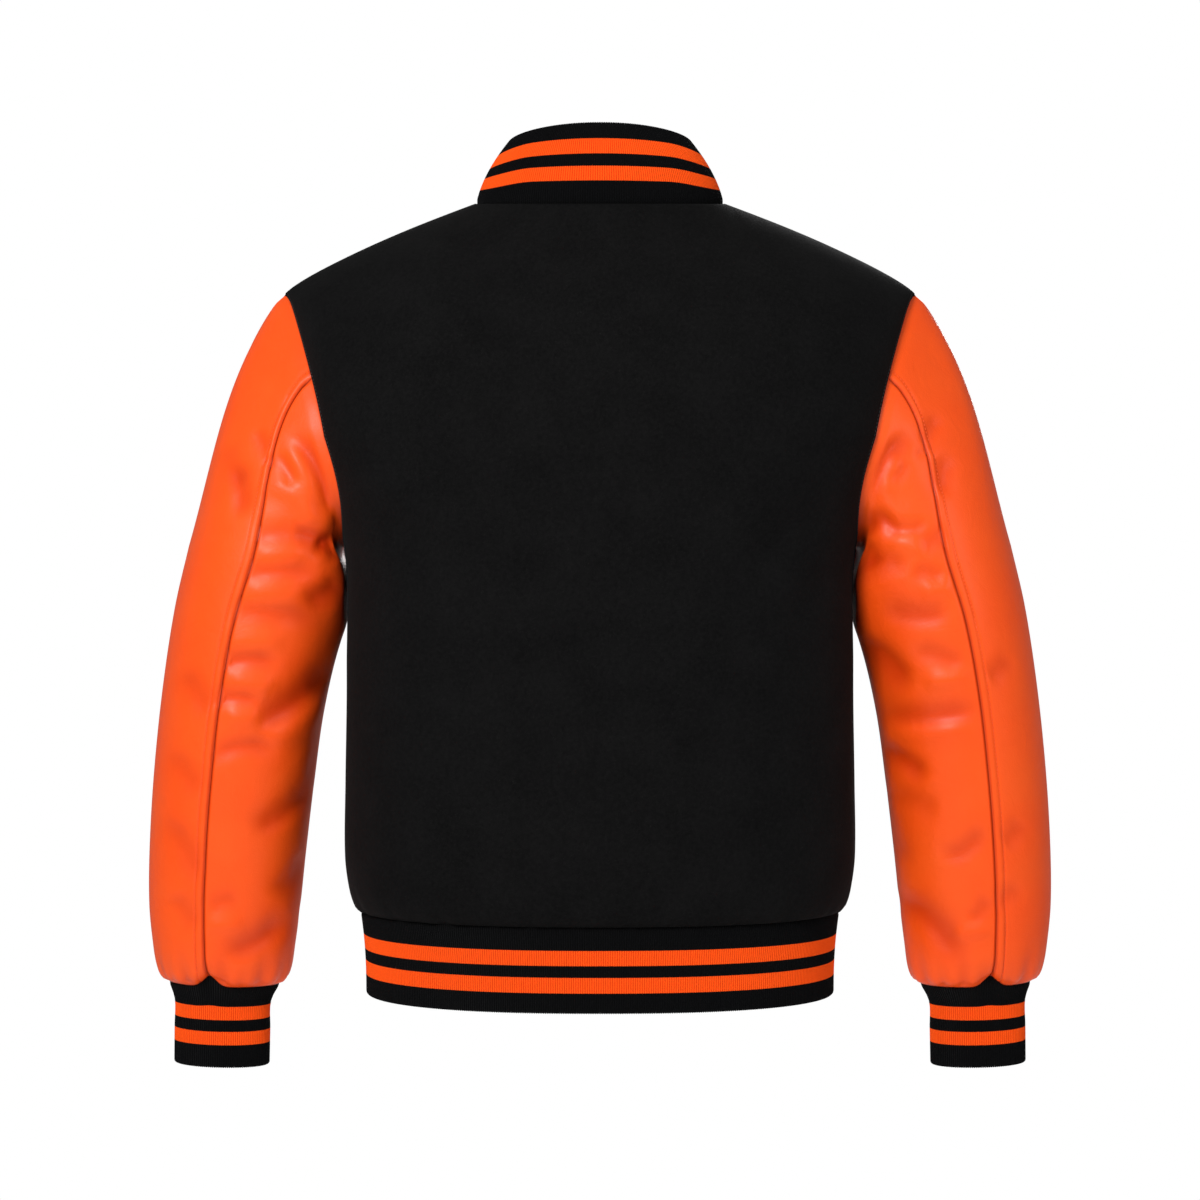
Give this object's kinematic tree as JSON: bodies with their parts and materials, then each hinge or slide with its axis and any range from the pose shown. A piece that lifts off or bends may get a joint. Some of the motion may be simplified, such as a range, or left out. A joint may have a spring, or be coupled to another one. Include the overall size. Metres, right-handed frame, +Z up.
{
  "type": "varsity jacket",
  "caption": "Hollow, worn-form varsity jacket: wool body, set-in leather sleeves, striped rib-knit collar, cuffs and hem, snap front.",
  "frame": {"origin": "middle of the neck opening, level with the points where the shoulder seams meet the collar", "axes": "+Z up, +X towards the wearer's left, +Y towards the back; the fronts face -Y"},
  "size_m": [0.7556, 0.2924, 0.7735],
  "materials": {
    "wool": "matt melton wool, short nap",
    "leather": "smooth finished leather with a fine grain and a soft sheen",
    "rib": "matt rib knit with two orange stripes",
    "snap": "glossy black enamel"
  },
  "bodies": {
    "root": {"back": "wool", "left_front": "wool", "right_front": "wool", "collar": "rib", "hem_band": "rib", "left_cuff": "rib", "right_cuff": "rib", "left_top_sleeve": "leather", "left_under_sleeve": "leather", "right_top_sleeve": "leather", "right_under_sleeve": "leather", "snap_1": "snap", "snap_2": "snap", "snap_3": "snap", "snap_4": "snap", "snap_5": "snap", "snap_6": "snap", "hem_snap": "snap"}
  },
  "joints": []
}
